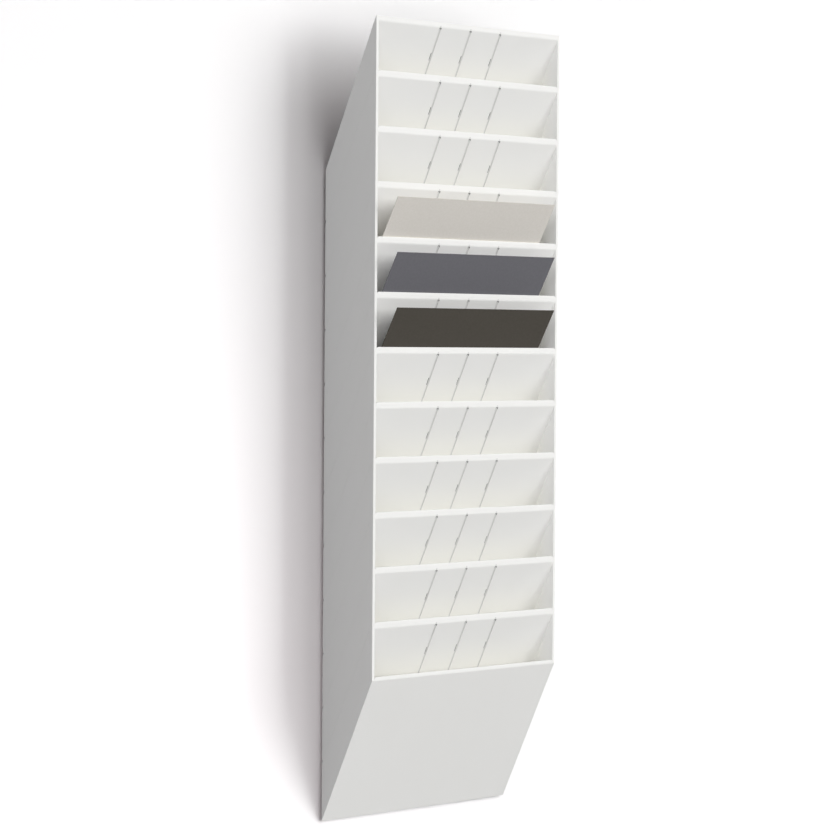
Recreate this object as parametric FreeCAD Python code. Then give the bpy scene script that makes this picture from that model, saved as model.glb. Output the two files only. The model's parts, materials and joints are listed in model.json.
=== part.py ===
import FreeCAD, Part
import math
import os

from FreeCAD import Vector

# A wall-hung pigeonhole unit for A4 sheets held landscape. Twelve moulded trays are stacked one
# above another, each a slanting pocket that opens at the front and drops towards the wall. Eleven
# are equal, and the lowest differs only in its side walls, which hang over no tray below it. A flat
# cover closes the top tray, and three insert sheets stand in the fourth to sixth pockets.
#
# X runs to the viewer's right, Y towards the wall, Z up. The origin lies on the wall plane, at the
# middle of the rectangle of the four fixing holes in the top and the bottom tray. Millimetres.
#
# Each tray is drawn once, with its depth counted from the front plane and its level from the top
# edge of its own lip. A rise is a panel's thickness measured straight up instead of square to it.

# Overall size
unit_width = 348.0
unit_depth = 110.0
tray_pitch = 75.6
tray_count = 12
panel_drop = 212.8

# Panels and cheeks
front_panel_thickness = 2.3
back_panel_thickness = 1.6
cheek_thickness = 4.2
cheek_edge_radius = 0.8
floor_thickness = 2.0
floor_distance = 148.5
rear_gap = 2.8

# The lap of each tray's cheeks over the tray above
lap_thickness = 2.0
lap_clearance = 0.1
seam_gap = 0.4
notch_depth = 3.0
notch_height = 5.0

# Click ribs on the inside of the lap
click_height = 0.4
click_width = 1.6
click_length = 14.0
click_inset = 24.0
click_clearance = 0.1

# The lip along the top of each front panel, rounded so far that little of its top stays flat
lip_depth = 2.4
lip_flat = 0.2
lip_foot_radius = 4.0
lip_end_radius = 4.0

# The rounded front edge of each back panel
back_edge_radius = 6.0

# Divider grooves in each back panel
groove_place_shares = (1 / 3, 1 / 2, 2 / 3)
groove_width = 2.4
groove_depth = 0.9
groove_start = 0.5
groove_end = 62.0
catch_hole_width = 3.8
catch_hole_length = 1.3
catch_slot_width = 1.6
catch_slot_length = 5.2
catch_slot_start = 17.8
catch_slot_offset = 1.5

# Fixing tabs on the wall
tab_width = 36.0
tab_thickness = 2.6
tab_height = 24.0
tab_corner_radius = 6.0
fixing_hole_radius = 2.6
fixing_hole_height = 13.0
fixing_hole_spacing = 250.0

# Cover over the top tray
cover_edge_radius = 0.5

# Insert sheets
sheet_width = 297.0
sheet_height = 210.0
sheet_thickness = 1.0
sheet_lean = math.radians(31.0)
sheet_clearance = 0.3
sheet_shift = -10.0
sheet_pockets = (4, 5, 6)

# Cuts run past the faces that they open by this much
overrun = 1.0
# Two places closer than this are taken as one
same_place = 0.001

# Worked out from the sizes above
slope_angle = math.atan2(unit_depth, panel_drop)
front_rise = front_panel_thickness / math.sin(slope_angle)
back_rise = back_panel_thickness / math.sin(slope_angle)
back_top = tray_pitch - front_rise
back_under = back_top - back_rise
panel_end = unit_depth - rear_gap
outer_x = unit_width / 2
lip_edge_radius = (lip_depth - lip_flat) / 2
lap_x = outer_x - lap_thickness
drop_in_x = lap_x - lap_clearance
inner_x = outer_x - cheek_thickness
pocket_thickness = back_under * math.sin(slope_angle)
tail_start = floor_distance + floor_thickness
tab_shoulder = back_top - panel_drop
top_lip_level = (tray_count - 1) * tray_pitch / 2 - tab_shoulder - fixing_hole_height


def slope_level(rise, depth):
    """The level at this depth of the sloping plane that meets the front plane at rise."""
    return rise - depth * panel_drop / unit_depth


def slope_point(along, away):
    """The (depth, level) point this far down the slope and this far off the front panel."""
    depth = along * math.sin(slope_angle) + away * math.cos(slope_angle)
    level = away * math.sin(slope_angle) - along * math.cos(slope_angle)
    return depth, level


def prism(outline, x_low, x_high):
    """A solid of constant section across the unit, from an outline of (depth, level) points."""
    corners = [Vector(x_low, depth, level) for depth, level in outline]
    face = Part.Face(Part.makePolygon(corners + corners[:1]))
    return face.extrude(Vector(x_high - x_low, 0, 0))


def sloping_slab(low, high, near, far, x_low, x_high):
    """A slab between two sloping planes and two upright planes parallel to the wall."""
    outline = [
        (near, slope_level(low, near)),
        (far, slope_level(low, far)),
        (far, slope_level(high, far)),
        (near, slope_level(high, near)),
    ]
    return prism(outline, x_low, x_high)


def ends_match(edge, matches):
    """Whether both ends of an edge pass the test."""
    return all(matches(end.Point) for end in edge.Vertexes)


def rounded(shape, radius, matches):
    """The shape with each edge whose two ends pass the test rounded."""
    edges = [edge for edge in shape.Edges if ends_match(edge, matches)]
    return shape.makeFillet(radius, edges)


def mirrored_pair(shape):
    """The shape and its mirror image on the other side of the unit."""
    return [shape, shape.mirror(Vector(0, 0, 0), Vector(1, 0, 0))]


def click_places():
    """Where each click rib starts and ends in depth: one near the front and one near the wall."""
    wall_end = unit_depth - click_inset
    return [(click_inset, click_inset + click_length), (wall_end - click_length, wall_end)]


def click_bars(rise, x_reach, side_gap):
    """Bars along the slope, centred on the plane at rise, from the lap's left inner face inwards."""
    bars = []
    for near, far in click_places():
        bars.append(
            sloping_slab(
                rise - click_width / 2 - side_gap,
                rise + click_width / 2 + side_gap,
                near - side_gap,
                far + side_gap,
                -lap_x,
                x_reach - lap_x,
            )
        )
    return bars


def click_recesses(rise):
    """Bars that cut the hollows which the click ribs of the tray below snap into."""
    return click_bars(rise, click_height + click_clearance, click_clearance)


def rear_notch():
    """The small relief at the wall end of the seam, where two trays are prised apart."""
    corner = Vector(-outer_x - overrun, panel_end - notch_depth, slope_level(0, panel_end))
    return Part.makeBox(lap_thickness + overrun, notch_depth + overrun, notch_height, corner)


def drop_in_cut():
    """What is cut off the foot of a side wall, so that it drops into the lap of the tray below."""
    cut = sloping_slab(
        -front_rise - overrun, seam_gap, -overrun, panel_end + overrun, -outer_x, -drop_in_x
    )
    return cut.fuse(click_recesses(-front_rise / 2)).fuse(rear_notch())


def left_cheek(lowest):
    """The left side wall: an outer layer that laps over the tray above, and an inner layer.

    On the lowest tray both layers go down to the front panel's face. It stays off the wall, like
    the panels, because the unit rests on its fixing tabs.
    """
    foot = -front_rise if lowest else seam_gap
    outer = sloping_slab(foot, tray_pitch, 0, panel_end, -outer_x, -lap_x)
    outer = rounded(
        outer,
        cheek_edge_radius,
        lambda end: abs(end.x + outer_x) < same_place and abs(end.y) < same_place,
    )
    inner = sloping_slab(-front_rise, back_top, 0, panel_end, -lap_x, -inner_x)
    cheek = outer.fuse(inner)
    for bar in click_bars(tray_pitch - front_rise / 2, click_height, 0):
        cheek = cheek.fuse(bar)
    if lowest:
        return cheek
    return cheek.cut(drop_in_cut())


def lip_end_cut(x_cheek, x_centre):
    """What is taken off one end of the lip, to leave a rounded corner beside the cheek."""
    depth = lip_depth + lip_end_radius * unit_depth / panel_drop
    corner = Part.makeBox(
        lip_end_radius,
        depth + overrun,
        lip_end_radius + overrun,
        Vector(min(x_cheek, x_centre), -overrun, -lip_end_radius),
    )
    round_end = Part.makeCylinder(
        lip_end_radius,
        depth + overrun,
        Vector(x_centre, -overrun, -lip_end_radius),
        Vector(0, 1, 0),
    )
    return corner.cut(round_end)


def front_panel():
    """The sloping front of a pocket, with an upright lip rounded along its top and its foot."""
    outline = [
        (0, -front_rise),
        (panel_end, slope_level(-front_rise, panel_end)),
        (panel_end, slope_level(0, panel_end)),
        (lip_depth, slope_level(0, lip_depth)),
        (lip_depth, 0),
        (0, 0),
    ]
    panel = rounded(
        prism(outline, -inner_x, inner_x),
        lip_edge_radius,
        lambda end: abs(end.z) < same_place,
    )
    panel = rounded(
        panel,
        lip_foot_radius,
        lambda end: abs(end.y) < same_place and abs(end.z + front_rise) < same_place,
    )
    for side in (-1, 1):
        x_cheek = side * inner_x
        panel = panel.cut(lip_end_cut(x_cheek, x_cheek - side * lip_end_radius))
    return panel


def divider_groove(x_groove):
    """A shallow groove down the back panel, with a catch hole at its top and a catch slot."""
    groove_rise = groove_depth / math.sin(slope_angle)
    x_slot = x_groove - catch_slot_offset
    groove = sloping_slab(
        back_under - overrun,
        back_under + groove_rise,
        groove_start,
        groove_end,
        x_groove - groove_width / 2,
        x_groove + groove_width / 2,
    )
    hole = sloping_slab(
        back_under - overrun,
        back_top + overrun,
        groove_start,
        groove_start + catch_hole_length,
        x_groove - catch_hole_width / 2,
        x_groove + catch_hole_width / 2,
    )
    slot = sloping_slab(
        back_under - overrun,
        back_top + overrun,
        catch_slot_start,
        catch_slot_start + catch_slot_length,
        x_slot - catch_slot_width / 2,
        x_slot + catch_slot_width / 2,
    )
    return groove.fuse([hole, slot])


def back_panel():
    """The sloping back of a pocket, with three grooves that take dividers."""
    panel = rounded(
        sloping_slab(back_under, back_top, 0, unit_depth, -inner_x, inner_x),
        back_edge_radius,
        lambda end: abs(end.y) < same_place and abs(end.z - back_under) < same_place,
    )
    for share in groove_place_shares:
        panel = panel.cut(divider_groove((2 * share - 1) * inner_x))
    return panel


def pocket_floor():
    """The floor of a pocket, square to both panels."""
    outline = [
        slope_point(floor_distance, 0),
        slope_point(tail_start, 0),
        slope_point(tail_start, pocket_thickness),
        slope_point(floor_distance, pocket_thickness),
    ]
    return prism(outline, -inner_x, inner_x)


def fixing_tab():
    """The left tab, which stands up on the wall from the back panel's end, with a screw hole."""
    x_hole = -fixing_hole_spacing / 2
    foot = tab_shoulder - back_rise
    top = tab_shoulder + tab_height
    tab = Part.makeBox(
        tab_width,
        tab_thickness,
        top - foot,
        Vector(x_hole - tab_width / 2, unit_depth - tab_thickness, foot),
    )
    corner_edges = [
        edge
        for edge in tab.Edges
        if ends_match(edge, lambda end: abs(end.z - top) < same_place)
        and abs(edge.Vertexes[0].X - edge.Vertexes[-1].X) < same_place
    ]
    tab = tab.makeFillet(tab_corner_radius, corner_edges)
    hole = Part.makeCylinder(
        fixing_hole_radius,
        tab_thickness + 2 * overrun,
        Vector(x_hole, unit_depth - tab_thickness - overrun, tab_shoulder + fixing_hole_height),
        Vector(0, 1, 0),
    )
    return tab.cut(hole)


def tray(lowest):
    """One whole tray, with its level counted from the top edge of its lip."""
    pieces = [back_panel(), pocket_floor()]
    pieces += mirrored_pair(left_cheek(lowest))
    pieces += mirrored_pair(fixing_tab())
    return front_panel().fuse(pieces).removeSplitter()


def top_cover():
    """The flat plate that drops into the lap of the top tray, where a tray above would sit."""
    outline = [
        (0, back_top),
        (panel_end, slope_level(back_top, panel_end)),
        (panel_end, slope_level(tray_pitch, panel_end)),
        (0, tray_pitch),
    ]
    cover = rounded(
        prism(outline, -drop_in_x, drop_in_x),
        cover_edge_radius,
        lambda end: abs(end.z - tray_pitch) < same_place,
    )
    for recess in click_recesses(tray_pitch - front_rise / 2):
        for cut in mirrored_pair(recess):
            cover = cover.cut(cut)
    return cover


def insert_sheet():
    """A sheet that stands on the pocket's floor and leans out over the lip."""
    along = Vector(0, -math.sin(sheet_lean), math.cos(sheet_lean))
    back = Vector(0, math.cos(sheet_lean), math.sin(sheet_lean))
    lip_corner = Vector(0, lip_depth - lip_edge_radius, -lip_edge_radius)
    off_lip = lip_corner.dot(back) + lip_edge_radius + sheet_clearance
    tilt = sheet_lean - slope_angle
    foot = -(floor_distance - sheet_clearance + off_lip * math.sin(tilt)) / math.cos(tilt)
    corner = back * off_lip + along * foot
    corner.x = sheet_shift - sheet_width / 2
    sheet = Part.makeBox(sheet_width, sheet_thickness, sheet_height)
    sheet.rotate(Vector(0, 0, 0), Vector(1, 0, 0), math.degrees(sheet_lean))
    return sheet.translated(corner)


def place(shape, number):
    """The shape moved from its drawing place to tray number, counted from the top."""
    return shape.translated(Vector(0, -unit_depth, top_lip_level - (number - 1) * tray_pitch))


def save(shape, node):
    """Writes one node's solid."""
    shape.exportStep(os.path.join("parts", node + ".step"))
    box = shape.BoundBox
    print(
        f"{node}: {len(shape.Solids)} solid, valid {shape.isValid()}, {shape.Volume / 1000:.1f} cm3,"
        f" x {box.XMin:.1f} to {box.XMax:.1f}, y {box.YMin:.1f} to {box.YMax:.1f},"
        f" z {box.ZMin:.1f} to {box.ZMax:.1f}"
    )


os.makedirs("parts", exist_ok=True)

upper_tray = tray(False)
for number in range(1, tray_count):
    save(place(upper_tray, number), f"tray_{number:02d}")
save(place(tray(True), tray_count), f"tray_{tray_count:02d}")
save(place(top_cover(), 1), "top_cover")

one_sheet = insert_sheet()
for number in sheet_pockets:
    save(place(one_sheet, number), f"insert_sheet_{number:02d}")
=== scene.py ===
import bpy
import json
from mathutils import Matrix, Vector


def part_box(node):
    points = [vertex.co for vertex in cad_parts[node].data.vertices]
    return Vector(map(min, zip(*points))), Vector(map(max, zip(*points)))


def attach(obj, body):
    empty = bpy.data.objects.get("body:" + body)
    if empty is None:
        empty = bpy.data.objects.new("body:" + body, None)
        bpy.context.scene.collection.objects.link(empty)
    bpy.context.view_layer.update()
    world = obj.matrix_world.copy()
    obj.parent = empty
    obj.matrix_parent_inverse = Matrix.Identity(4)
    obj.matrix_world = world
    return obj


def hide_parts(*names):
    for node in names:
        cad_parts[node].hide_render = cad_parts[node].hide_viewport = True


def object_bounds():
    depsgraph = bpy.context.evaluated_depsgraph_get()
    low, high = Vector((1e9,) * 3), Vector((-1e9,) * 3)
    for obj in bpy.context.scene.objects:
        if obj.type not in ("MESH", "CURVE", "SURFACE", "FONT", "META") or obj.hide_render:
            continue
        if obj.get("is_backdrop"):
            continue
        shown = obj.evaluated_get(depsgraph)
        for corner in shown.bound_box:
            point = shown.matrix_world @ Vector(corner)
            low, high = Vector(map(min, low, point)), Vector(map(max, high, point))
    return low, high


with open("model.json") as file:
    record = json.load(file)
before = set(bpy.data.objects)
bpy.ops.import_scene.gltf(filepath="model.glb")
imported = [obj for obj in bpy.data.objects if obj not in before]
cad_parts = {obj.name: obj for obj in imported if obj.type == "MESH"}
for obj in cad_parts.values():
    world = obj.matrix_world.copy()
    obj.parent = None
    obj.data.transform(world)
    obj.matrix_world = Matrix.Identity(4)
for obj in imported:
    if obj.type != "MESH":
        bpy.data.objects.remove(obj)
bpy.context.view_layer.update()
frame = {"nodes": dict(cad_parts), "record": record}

# %% [markdown]
# Blender's own modules come next. Its mesh operators live in bmesh, and its data in bpy.data.
# %% Bring in Blender's modules
import json
import math

import bmesh
import bpy
from mathutils import Matrix, Vector

scene = bpy.context.scene
tray_names = sorted(name for name in frame["nodes"] if name.startswith("tray_"))
sheet_names = sorted(name for name in frame["nodes"] if name.startswith("insert_sheet_"))
print(len(tray_names), "trays and", len(sheet_names), "sheets")

# %% [markdown]
# The photograph was taken from the left with a long lens, a little above the unit's middle. The
# camera's place, its turn and its lens come from a fit to the corners and lips in the
# photograph. A camera in Blender looks along its own -Z with +Y up, so upright and level means a
# turn of 90 degrees about X. A long lens far away keeps the upright edges almost parallel, as
# they are in the picture.
# %% Set up the camera
camera_place = Vector((-2.5558, -2.9182, 0.1707))
camera_turn = [math.radians(angle) for angle in (88.394, -0.4237, -41.2747)]
camera_lens = 115.387
sensor_width = 36

camera_data = bpy.data.cameras.new("camera")
camera_data.sensor_width = sensor_width
camera_data.lens = camera_lens
camera = bpy.data.objects.new("camera", camera_data)
camera.location = camera_place
camera.rotation_euler = camera_turn
scene.collection.objects.link(camera)
scene.camera = camera
print("Camera is", round(camera_place.length, 2), "m from the frame's origin on the wall")

# %% [markdown]
# Every finish starts from the same few nodes: one Principled shader, and noise that reads Object
# coordinates. A node's place is in its mesh here, so Object coordinates are metres in the unit's
# own frame, and a noise scale of 1000 means a grain of about a millimetre.
# %% Start a finish
def start_finish(name, roughness, reflectance):
    """A new material with one Principled shader, and the parts needed to build on it."""
    finish = bpy.data.materials.new(name)
    finish.use_nodes = True
    tree = finish.node_tree
    tree.nodes.clear()
    shader = tree.nodes.new("ShaderNodeBsdfPrincipled")
    output = tree.nodes.new("ShaderNodeOutputMaterial")
    tree.links.new(shader.outputs["BSDF"], output.inputs["Surface"])
    shader.inputs["Roughness"].default_value = roughness
    shader.inputs["Specular IOR Level"].default_value = reflectance
    return finish, tree, shader


def grain(tree, scale, detail, stretch=(1, 1, 1)):
    """Noise from 0 to 1 over the piece, stretched along X, Y or Z where a number is below 1."""
    place = tree.nodes.new("ShaderNodeTexCoord")
    mapping = tree.nodes.new("ShaderNodeMapping")
    mapping.inputs["Scale"].default_value = stretch
    noise = tree.nodes.new("ShaderNodeTexNoise")
    noise.inputs["Scale"].default_value = scale
    noise.inputs["Detail"].default_value = detail
    tree.links.new(place.outputs["Object"], mapping.inputs["Vector"])
    tree.links.new(mapping.outputs["Vector"], noise.inputs["Vector"])
    return noise.outputs["Fac"]


# %% [markdown]
# The noise is then put to use. It seldom leaves the middle of its range, so the part between
# swing_low and swing_high is stretched over the whole roughness or colour that the finish has.
# The same noise can raise and lower the surface as a bump, too low to need any geometry.
# %% Vary a finish
swing_low = 0.3
swing_high = 0.7


def fade(tree, value, start, end, first, last, smooth=False):
    """A value that goes from first to last as another goes from start to end, and stays there."""
    reach = tree.nodes.new("ShaderNodeMapRange")
    if smooth:
        reach.interpolation_type = "SMOOTHSTEP"
    reach.inputs["From Min"].default_value = start
    reach.inputs["From Max"].default_value = end
    reach.inputs["To Min"].default_value = first
    reach.inputs["To Max"].default_value = last
    tree.links.new(value, reach.inputs["Value"])
    return reach.outputs["Result"]


def blend_colours(tree, value, first, second):
    """A colour between first and second, by a value that swings about 0.5."""
    ramp = tree.nodes.new("ShaderNodeValToRGB")
    for element, position, colour in zip(
        ramp.color_ramp.elements, (swing_low, swing_high), (first, second)
    ):
        element.position = position
        element.color = (*colour, 1)
    tree.links.new(value, ramp.inputs["Fac"])
    return ramp.outputs["Color"]


def raise_by(tree, value, height, under=None):
    """A bump whose full swing is height metres, on top of another bump if one is given."""
    bump = tree.nodes.new("ShaderNodeBump")
    bump.inputs["Strength"].default_value = 1
    bump.inputs["Distance"].default_value = height
    tree.links.new(value, bump.inputs["Height"])
    if under is not None:
        tree.links.new(under, bump.inputs["Normal"])
    return bump.outputs["Normal"]


# %% [markdown]
# Some marks on the trays are at known places, not spread by noise. A mask marks such a place: it
# is 1 inside and 0 outside, worked out from the coordinates with Math nodes. Three helpers make
# every mask: one step of arithmetic, a test that a value lies between two limits, and the
# overlap of two masks. The last one uses a mask to tint a colour.
# %% Make masks by arithmetic
def work_out(tree, operation, first, second=0.0):
    """One step of arithmetic on two values or numbers."""
    step = tree.nodes.new("ShaderNodeMath")
    step.operation = operation
    for socket, value in zip(step.inputs, (first, second)):
        if isinstance(value, (int, float)):
            socket.default_value = value
        else:
            tree.links.new(value, socket)
    return step.outputs["Value"]


def overlap(tree, first, second):
    """1 where both masks are 1, and 0 elsewhere."""
    return work_out(tree, "MULTIPLY", first, second)


def between(tree, value, low, high):
    """1 where a value lies between low and high, and 0 elsewhere."""
    above = work_out(tree, "GREATER_THAN", value, low)
    below = work_out(tree, "LESS_THAN", value, high)
    return overlap(tree, above, below)


def tint_where(tree, mask, plain, tint):
    """The plain colour, turned to the tint where the mask is 1."""
    mix = tree.nodes.new("ShaderNodeMix")
    mix.data_type = "RGBA"
    tree.links.new(mask, mix.inputs["Factor"])
    tree.links.new(plain, mix.inputs["A"])
    mix.inputs["B"].default_value = (*tint, 1)
    return mix.outputs["Result"]


# %% [markdown]
# The trays repeat down the wall, so the masks use the unit's own measures, in metres, as the CAD
# has them: the pitch from lip to lip, the depth from the wall to the front, how far the sloping
# panels fall from front to wall, and the level of the lowest lip. Two new coordinates follow the
# slope. Depth runs in from the front face. Rise is the height above the nearest lip below,
# measured straight up at that depth, as if the slope were taken out.
# %% Follow the slope
tray_pitch = 0.0756
unit_depth = 0.110
panel_fall = 0.2128
lowest_lip = -0.28659
groove_spacing = 0.0566
to_mm = 1000


def slope_coordinates(tree):
    """How far aside of the nearest groove line, how far from the unit's middle, depth, rise, and
    the level above the lowest lip with the slope taken out."""
    place = tree.nodes.new("ShaderNodeTexCoord")
    parts = tree.nodes.new("ShaderNodeSeparateXYZ")
    tree.links.new(place.outputs["Object"], parts.inputs["Vector"])
    shifted = work_out(tree, "ADD", parts.outputs["X"], groove_spacing / 2)
    wrapped = work_out(tree, "FLOORED_MODULO", shifted, groove_spacing)
    aside = work_out(tree, "SUBTRACT", wrapped, groove_spacing / 2)
    off_middle = work_out(tree, "ABSOLUTE", parts.outputs["X"])
    depth = work_out(tree, "ADD", parts.outputs["Y"], unit_depth)
    fallen = work_out(tree, "MULTIPLY", depth, panel_fall / unit_depth)
    level = work_out(tree, "ADD", parts.outputs["Z"], fallen)
    above_lowest = work_out(tree, "SUBTRACT", level, lowest_lip)
    rise = work_out(tree, "FLOORED_MODULO", above_lowest, tray_pitch)
    return aside, off_middle, depth, rise, above_lowest


panel_slope = math.degrees(math.atan2(unit_depth, panel_fall))
print("The panels slope", round(panel_slope, 1), "degrees from upright")

# %% [markdown]
# The trays are injection-moulded in white plastic with a satin surface. The white is a shade
# warm, and where the melt flowed down the panel it has streaks that are hardly lighter or
# darker. A plain white would look like paper here, so the streaks go in, too weak to see on
# their own. The next cells each add something to this finish, and the last of them puts it on.
# %% Start the white moulding
white, white_tree, white_shader = start_finish("white_moulding", roughness=0.52, reflectance=0.35)
streaks = grain(white_tree, scale=14, detail=3, stretch=(1, 1, 0.12))
plain_white = blend_colours(white_tree, streaks, (0.957, 0.954, 0.926), (0.965, 0.963, 0.938))
aside, off_middle, depth, rise, above_lowest = slope_coordinates(white_tree)
print("Started", white.name)

# %% [markdown]
# Each back panel has three grooves for dividers, and in each groove a small hole at the top and
# a slot further down, where a divider's hooks catch. On the real tray they open into the unlit
# hollow between two mouldings. In the CAD they are shallow, and their white floor would catch
# the light, so the shade of that hollow is painted on: the plastic is painted dark inside them.
# The masks start at the panel's face, so they reach nothing but what is cut into it.
# %% Mark the painted shade in the catch holes and slots
panel_face = 0.0672
catch_floor = 0.0716
grooves_reach = groove_spacing + 0.005
hole_half_width = 0.0020
hole_start = 0.0004
hole_end = 0.0019
slot_left = -0.0024
slot_right = -0.0006
slot_start = 0.0177
slot_end = 0.0231

on_panels = overlap(
    white_tree,
    work_out(white_tree, "GREATER_THAN", above_lowest, 0.0),
    work_out(white_tree, "LESS_THAN", off_middle, grooves_reach),
)
below_face = overlap(white_tree, between(white_tree, rise, panel_face, catch_floor), on_panels)
in_hole = overlap(
    white_tree,
    between(white_tree, aside, -hole_half_width, hole_half_width),
    between(white_tree, depth, hole_start, hole_end),
)
in_slot = overlap(
    white_tree,
    between(white_tree, aside, slot_left, slot_right),
    between(white_tree, depth, slot_start, slot_end),
)
hole_shade_mask = overlap(white_tree, in_hole, below_face)
slot_shade_mask = overlap(white_tree, in_slot, below_face)
print("A catch hole is", round(2 * hole_half_width * to_mm, 1), "mm wide")

# %% [markdown]
# The grooves get a painted shade, grey, in them and along their edges. The painted shade at
# the edges is strongest near the groove's upper end, by the hole, and weaker further down. It
# lies on a strip a little wider than the groove.
# %% Mark the painted shade in and along the grooves
groove_floor = 0.0691
groove_half_width = 0.00125
shade_half_width = 0.0023
shade_depth = 0.0004

in_groove = overlap(
    white_tree,
    between(white_tree, aside, -groove_half_width, groove_half_width),
    between(white_tree, rise, panel_face, groove_floor),
)
groove_shade_mask = overlap(white_tree, in_groove, on_panels)
along_groove = overlap(
    white_tree,
    between(white_tree, aside, -shade_half_width, shade_half_width),
    between(white_tree, rise, panel_face - shade_depth, panel_face),
)
# How strong the painted shade along the groove's edges is, fading down the groove.
groove_shade_strength = fade(white_tree, depth, start=0.004, end=0.036, first=0.8, last=0.1)
groove_edge_shade_mask = overlap(white_tree, overlap(white_tree, along_groove, on_panels), groove_shade_strength)
print("The dusty strip is", round(2 * shade_half_width * to_mm, 1), "mm wide")

# %% [markdown]
# Deep in the pockets the plastic is painted creamier, a painted warm light like that of light
# bounced many times between the white panels. Its mask fades in with the depth, so that no edge
# of it shows.
# %% Mark the deep parts of the pockets
pocket_half_width = 0.1700
pocket_low = 0.0005
pocket_high = 0.0675

in_pocket = overlap(
    white_tree,
    work_out(white_tree, "LESS_THAN", off_middle, pocket_half_width),
    between(white_tree, rise, pocket_low, pocket_high),
)
deepness = fade(white_tree, depth, start=0.010, end=0.045, first=0.0, last=1.0, smooth=True)
warm_bounce_mask = overlap(white_tree, in_pocket, deepness)
print("The cream tint is", round(2 * pocket_half_width * to_mm), "mm wide")

# %% [markdown]
# The tints go on one over another, from the widest place to the smallest. The mould also gives
# the surface a fine even grain, and the plastic shrinks a little as it cools, so a broad panel
# isn't quite flat: it has long faint waves that show only in a glancing light. Both are bumps,
# the grain on top of the waves. Twelve trays and the cover share the finish.
# %% Make the white moulded plastic
colour = plain_white
# Every tint here is painted light: the cream is painted warm bounce light deep in the pockets,
# and the greys and darks are painted shade in and along the grooves and in the catch holes and
# slots.
for mask, tint in (
    (warm_bounce_mask, (0.967, 0.957, 0.900)),
    (groove_edge_shade_mask, (0.84, 0.836, 0.812)),
    (groove_shade_mask, (0.79, 0.786, 0.765)),
    (hole_shade_mask, (0.22, 0.218, 0.21)),
    (slot_shade_mask, (0.06, 0.059, 0.056)),
):
    colour = tint_where(white_tree, mask, colour, tint)
white_tree.links.new(colour, white_shader.inputs["Base Color"])

patches = grain(white_tree, scale=60, detail=4)
satin = fade(white_tree, patches, swing_low, swing_high, first=0.47, last=0.58)
white_tree.links.new(satin, white_shader.inputs["Roughness"])
long_waves = grain(white_tree, scale=9, detail=1, stretch=(1, 1, 0.5))
waves = raise_by(white_tree, long_waves, height=0.0004)
fine_grain = grain(white_tree, scale=1400, detail=2)
skin = raise_by(white_tree, fine_grain, height=0.000012, under=waves)
white_tree.links.new(skin, white_shader.inputs["Normal"])

white_nodes = tray_names + ["top_cover"]
for name in white_nodes:
    mesh = frame["nodes"][name].data
    mesh.materials.clear()
    mesh.materials.append(white)
print("White moulding on", len(white_nodes), "nodes")

# %% [markdown]
# The three insert sheets are coloured card: warm grey, slate grey and dark olive. Card is matte,
# with a mottle from its fibres a few millimetres across and a fine tooth to the touch. One
# function makes all three, from two nearby colours each.
# %% Make the card finishes
def card_finish(name, dark, light):
    """Matte card with mottled colour and a fine tooth."""
    finish, tree, shader = start_finish(name, roughness=0.7, reflectance=0.35)
    mottle = grain(tree, scale=320, detail=5)
    tree.links.new(blend_colours(tree, mottle, dark, light), shader.inputs["Base Color"])
    fibres = grain(tree, scale=2200, detail=3, stretch=(0.3, 1, 1))
    tree.links.new(raise_by(tree, fibres, height=0.00002), shader.inputs["Normal"])
    return finish


card_colours = {
    "insert_sheet_04": ("warm_grey_card", (0.78, 0.745, 0.682), (0.815, 0.78, 0.722)),
    "insert_sheet_05": ("slate_grey_card", (0.166, 0.165, 0.181), (0.179, 0.178, 0.195)),
    "insert_sheet_06": ("dark_olive_card", (0.076, 0.067, 0.054), (0.084, 0.075, 0.061)),
}
print(len(card_colours), "card colours")

# %% [markdown]
# Each sheet stands on its pocket's floor and leans out over the lip. The CAD has it as a plain
# slab. Cut card has crisp corners, but its edges are softened a little where the blade pressed
# them. Here the board is made as a cube, sized, and given a small bevel along every edge. It is
# made upright at the world's middle and then leant and moved as one, so that its object stays at
# the origin.
# %% Make an insert board
board_width = 0.297
board_height = 0.210
board_thickness = 0.001
board_edge = 0.0002
board_lean = math.radians(31)


def insert_board(node):
    """A card board where the CAD node is, with softened edges."""
    low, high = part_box(node)
    mesh = bpy.data.meshes.new(node + "_board")
    bm = bmesh.new()
    bmesh.ops.create_cube(bm, size=1)
    bmesh.ops.scale(bm, verts=bm.verts, vec=(board_width, board_thickness, board_height))
    bmesh.ops.bevel(
        bm,
        geom=bm.edges[:],
        offset=board_edge,
        offset_type="OFFSET",
        affect="EDGES",
        segments=2,
        profile=0.5,
        material=-1,
    )
    lean = Matrix.Rotation(board_lean, 3, "X")
    bmesh.ops.rotate(bm, verts=bm.verts, cent=(0, 0, 0), matrix=lean)
    bmesh.ops.translate(bm, verts=bm.verts, vec=(low + high) / 2)
    bm.to_mesh(mesh)
    bm.free()
    board = bpy.data.objects.new(node + "_board", mesh)
    scene.collection.objects.link(board)
    return board


# %% [markdown]
# Each board takes the place of the CAD's slab and rides on the slab's own body, so that it
# slides out of its pocket when the joint moves.
# %% Make the insert sheets
body_of_node = {
    node: body for body, nodes in frame["record"]["behaviour"]["bodies"].items() for node in nodes
}
for node in sheet_names:
    finish_name, dark, light = card_colours[node]
    board = insert_board(node)
    board.data.materials.append(card_finish(finish_name, dark, light))
    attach(board, body_of_node[node])
    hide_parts(node)
    print(board.name, "rides on", body_of_node[node])

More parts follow.
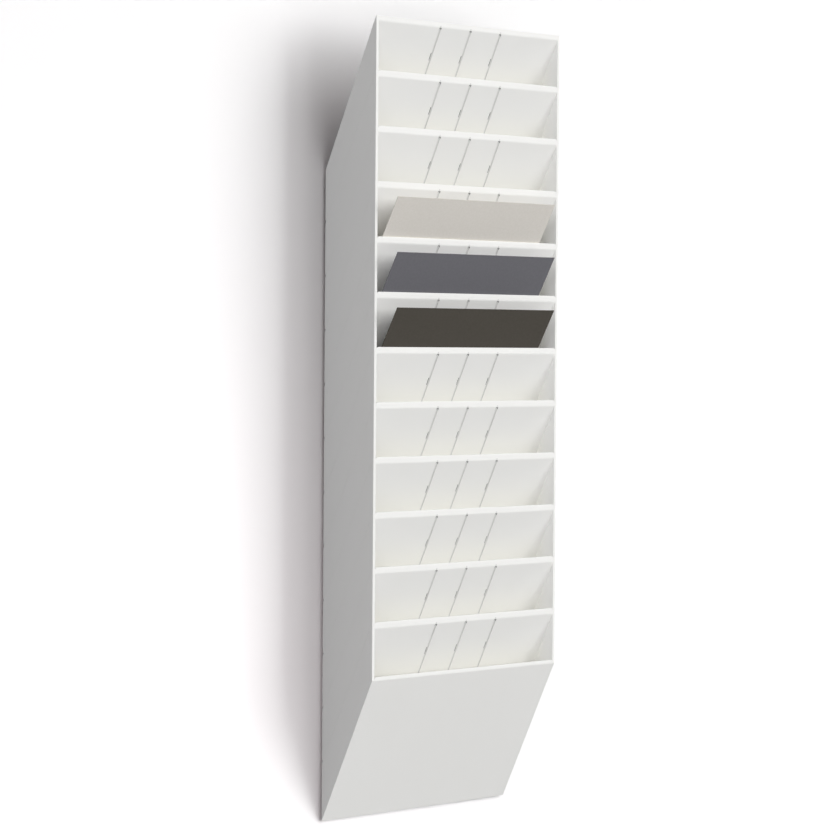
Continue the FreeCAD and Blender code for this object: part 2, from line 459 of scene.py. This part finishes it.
# %% [markdown]
# The unit hangs on a plain wall over a pale floor. Neither is part of it. Both have one side
# only: seen from behind they let the view through, so the unit's back and underside can be
# looked at. The wall is white to the eye, but a wall that bounced all that light back would wash
# out the unit's shaded side, which is clearly grey. So the Light Path node gives the wall a
# second, darker colour, for light that bounces off it.
# %% Make a paint for the wall and the floor
def pale_surface(name, seen_colour, bounce_colour):
    """A plain matte finish with one colour to the eye and one for bounced light, and no back."""
    finish = bpy.data.materials.new(name)
    finish.use_nodes = True
    tree = finish.node_tree
    tree.nodes.clear()
    output = tree.nodes.new("ShaderNodeOutputMaterial")
    ray = tree.nodes.new("ShaderNodeLightPath")
    seen = tree.nodes.new("ShaderNodeBsdfDiffuse")
    seen.inputs["Color"].default_value = (*seen_colour, 1)
    bounced = tree.nodes.new("ShaderNodeBsdfDiffuse")
    bounced.inputs["Color"].default_value = (*bounce_colour, 1)
    front = tree.nodes.new("ShaderNodeMixShader")
    tree.links.new(ray.outputs["Is Camera Ray"], front.inputs["Fac"])
    tree.links.new(bounced.outputs["BSDF"], front.inputs[1])
    tree.links.new(seen.outputs["BSDF"], front.inputs[2])
    side = tree.nodes.new("ShaderNodeNewGeometry")
    nothing = tree.nodes.new("ShaderNodeBsdfTransparent")
    one_sided = tree.nodes.new("ShaderNodeMixShader")
    tree.links.new(side.outputs["Backfacing"], one_sided.inputs["Fac"])
    tree.links.new(front.outputs["Shader"], one_sided.inputs[1])
    tree.links.new(nothing.outputs["BSDF"], one_sided.inputs[2])
    tree.links.new(one_sided.outputs["Shader"], output.inputs["Surface"])
    return finish


wall_colour = (1.1, 1.1, 1.1)
wall_bounce = (0.2, 0.2, 0.2)
floor_colour = (1.15, 1.15, 1.14)
floor_bounce = (0.55, 0.55, 0.545)
wall_paint = pale_surface("wall_paint", wall_colour, wall_bounce)
floor_paint = pale_surface("floor_paint", floor_colour, floor_bounce)
print("Made", wall_paint.name, "and", floor_paint.name)

# %% [markdown]
# A grid of one square makes each of them. The wall is turned upright, and drawn a millimetre
# behind the unit, so that the two don't share a plane.
# %% Set up the wall and the floor
def flat_stage(name, half_width, half_length, turn, place, finish):
    """A flat rectangle for the stage."""
    mesh = bpy.data.meshes.new(name)
    bm = bmesh.new()
    bmesh.ops.create_grid(bm, x_segments=1, y_segments=1, size=1)
    bmesh.ops.scale(bm, verts=bm.verts, vec=(half_width, half_length, 1))
    bmesh.ops.rotate(bm, verts=bm.verts, cent=(0, 0, 0), matrix=Matrix.Rotation(turn, 3, "X"))
    bmesh.ops.translate(bm, verts=bm.verts, vec=place)
    bm.to_mesh(mesh)
    bm.free()
    mesh.materials.append(finish)
    flat = bpy.data.objects.new(name, mesh)
    scene.collection.objects.link(flat)
    flat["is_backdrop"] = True
    return flat


wall_gap = 0.001
floor_level = -1.35
stage_reach = 8
wall_half_height = 4
upright = math.radians(90)
wall_place = (0, wall_gap, floor_level + wall_half_height)
wall = flat_stage("wall", stage_reach, wall_half_height, upright, wall_place, wall_paint)
floor = flat_stage("floor", stage_reach, stage_reach, 0, (0, 0, floor_level), floor_paint)
print("Wall faces", [round(v) for v in wall.data.polygons[0].normal])

# %% [markdown]
# The wall and the unit get softboxes of their own, by light linking: a collection says which
# objects a light falls on, and a second one which objects throw shadows in it. In that way the
# shadow on the wall can be as wide and as dark as it is in the photograph without a change to
# the unit's own shading. The floor throws no shadow, or it would cut off the lower half of
# lights that stand far away.
# %% Sort the objects for the lights
def linked_objects(name, flat, state):
    """A collection for light linking, with one object either left out or as the only one in."""
    group = bpy.data.collections.new(name)
    group.objects.link(flat)
    group.collection_objects[0].light_linking.link_state = state
    return group


all_but_wall = linked_objects("all_but_wall", wall, "EXCLUDE")
all_but_floor = linked_objects("all_but_floor", floor, "EXCLUDE")
only_wall = linked_objects("only_wall", wall, "INCLUDE")
print("Sorted by", all_but_wall.name, all_but_floor.name, only_wall.name)

# %% [markdown]
# Each light is a softbox given by its place, its size and its power. Most of them stand so far
# away that their place is easier to give as a direction: so many degrees to the right of
# straight ahead, and so many upwards.
# %% Make a softbox
middle = Vector((0, -0.06, 0.06))
light_distance = 20


def place_by_angles(to_the_right, upwards):
    """A place at the light distance, turned right and up from straight in front of the unit."""
    turn, lift = math.radians(to_the_right), math.radians(upwards)
    level_part = math.cos(lift)
    way = Vector((level_part * math.sin(turn), -level_part * math.cos(turn), math.sin(lift)))
    return middle + light_distance * way


def softbox(name, place, width, height, power, falls_on, shaded_by, colour):
    """A large area light that faces the unit and isn't seen itself."""
    light_data = bpy.data.lights.new(name, "AREA")
    light_data.shape = "RECTANGLE"
    light_data.size = width
    light_data.size_y = height
    light_data.energy = power
    light_data.color = colour
    light = bpy.data.objects.new(name, light_data)
    light.location = place
    facing = middle - Vector(place)
    light.rotation_euler = facing.to_track_quat("-Z", "Y").to_euler()
    light.visible_camera = False
    light.light_linking.receiver_collection = falls_on
    light.light_linking.blocker_collection = shaded_by
    scene.collection.objects.link(light)
    return light


def far_softboxes(softboxes, falls_on):
    """One softbox for each row of a table, in the direction that its row gives."""
    for name, (to_the_right, upwards, width, height, power, colour) in softboxes.items():
        place = place_by_angles(to_the_right, upwards)
        softbox(name, place, width, height, power, falls_on, all_but_floor, colour)
        print(name, "at", [round(v, 1) for v in place])


# %% [markdown]
# The light in the photograph is very soft and comes from two sides. The left side panel is a
# clear grey and the pockets' right walls are light, so there is light from the left too, a shade
# cooler. All pockets are equally bright from top to bottom, so the lights are far away. They
# stand a little above the unit, because the backs of the pockets show no dark band behind their
# lips. A row gives the degrees to the right, the degrees up, the width and the height in metres,
# the power in watts and the colour.
# %% Light the unit
white_light = (1, 1, 1)
cool_light = (0.965, 0.965, 1.0)
unit_softboxes = {
    "unit_key": (45, 14, 11.3, 8.3, 925, white_light),
    "unit_front_right": (22, 14, 10.0, 8.3, 1030, white_light),
    "unit_high": (30, 40, 11.7, 8.3, 400, white_light),
    "unit_front_left": (-18, 14, 8.3, 8.3, 830, white_light),
    "unit_left": (-46, 14, 11.7, 8.3, 1210, cool_light),
    "unit_far_left": (-74, 12, 8.3, 8.3, 235, cool_light),
}
far_softboxes(unit_softboxes, all_but_wall)

# %% [markdown]
# The shadow lies to the left on the wall and fades out over about 20 cm, so the wall's main
# light is large and to the right. It stands higher than the unit's, because the shadow hangs a
# little lower than the unit. One small light stands close to the wall, low and to the left,
# where the shadow in the photograph is palest and slightly rosy.
# %% Light the wall
pale_rosy_light = (1.0, 0.95, 0.965)
rosy_light = (1.0, 0.86, 0.9)
wall_softboxes = {
    "wall_key": (45, 20, 11.3, 15.0, 2045, white_light),
    "wall_key_low": (45, 2, 11.3, 15.0, 730, white_light),
    "wall_far_right": (65, 15, 11.3, 15.0, 780, white_light),
    "wall_front_right": (22, 2, 10.0, 15.0, 680, white_light),
    "wall_front": (0, 10, 11.7, 15.0, 145, pale_rosy_light),
    "wall_high": (30, 38, 11.7, 8.3, 300, white_light),
    "wall_overhead": (10, 55, 11.7, 8.3, 655, pale_rosy_light),
}
far_softboxes(wall_softboxes, only_wall)
softbox(
    "wall_low_left",
    place=(-0.9, -0.35, -0.45),
    width=0.4,
    height=0.4,
    power=2.3,
    falls_on=only_wall,
    shaded_by=all_but_floor,
    colour=rosy_light,
)

# %% [markdown]
# The world behind everything is only seen from the side, from below and from behind, past the
# wall's edge. It is plain and pale to the eye. It lights nothing, because the softboxes do that,
# and the Light Path node keeps the two apart as it does for the wall.
# %% Make the backdrop of the other views
backdrop_brightness = 0.8

world = bpy.data.worlds.new("pale_backdrop")
scene.world = world
world.use_nodes = True
world_tree = world.node_tree
background = world_tree.nodes["Background"]
background.inputs["Color"].default_value = (1, 1, 1, 1)
eye = world_tree.nodes.new("ShaderNodeLightPath").outputs["Is Camera Ray"]
seen_only = fade(world_tree, eye, start=0.0, end=1.0, first=0.0, last=backdrop_brightness)
world_tree.links.new(seen_only, background.inputs["Strength"])
scene.view_settings.view_transform = "Standard"
print("Backdrop is", world.name)

# %% [markdown]
# The wall keeps all this light off the unit's back, so a view from behind would show it black.
# One more light stands behind the wall and shines through it: the wall neither catches its light
# nor throws a shadow in it. It may not bounce either, or it would light the wall from the unit's
# back and fill the dark gap beside the unit.
# %% Light the back through the wall
back_light = softbox(
    "back_light",
    place=(0.6, 3.0, 0.8),
    width=2.5,
    height=2.5,
    power=60,
    falls_on=all_but_wall,
    shaded_by=all_but_wall,
    colour=white_light,
)
back_light.data.cycles.max_bounces = 0
print(back_light.name, "at", [round(v, 1) for v in back_light.location])

visual_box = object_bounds()
low_corner, high_corner = ([round(v, 4) for v in corner] for corner in visual_box)
print("Visual box from", low_corner, "to", high_corner)
